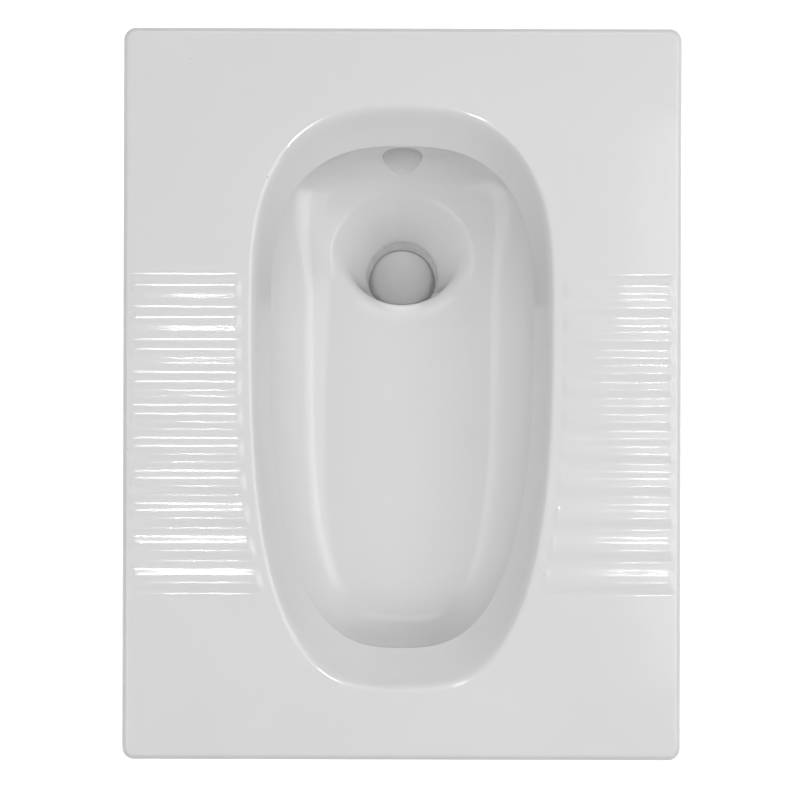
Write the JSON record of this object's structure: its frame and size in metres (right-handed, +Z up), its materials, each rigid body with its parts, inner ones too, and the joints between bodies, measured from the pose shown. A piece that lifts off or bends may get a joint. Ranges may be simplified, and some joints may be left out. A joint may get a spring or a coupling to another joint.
{
  "type": "squat toilet",
  "caption": "White glazed squat toilet pan let into the floor, with ribbed foot treads, sloped flush rim, deep rear well, flush inlet and P-trap.",
  "frame": {"origin": "middle of the skirt's rear wall, on its underside, where the deck beds on the floor", "axes": "+Z up, +Y to the rear where the flush pipe and the soil pipe are, X across the feet"},
  "size_m": [0.45, 0.62, 0.384],
  "materials": {
    "glaze": "clear gloss glaze on white vitreous china",
    "body_clay": "unglazed or thinly glazed fired clay on the hidden side",
    "seal_rubber": "matt moulded rubber",
    "trap_plastic": "moulded white pipe plastic"
  },
  "bodies": {
    "root": {"deck": "glaze", "left_treads": "glaze", "right_treads": "glaze", "rim_collar": "glaze", "flush_channel": "body_clay", "bowl": "glaze", "outlet_well": "glaze", "outlet_pipe": "body_clay", "flush_nozzle": "glaze", "flush_horn": "body_clay", "inlet_seal": "seal_rubber", "support_webs": "body_clay", "trap_seal": "seal_rubber", "trap": "trap_plastic"}
  },
  "joints": []
}
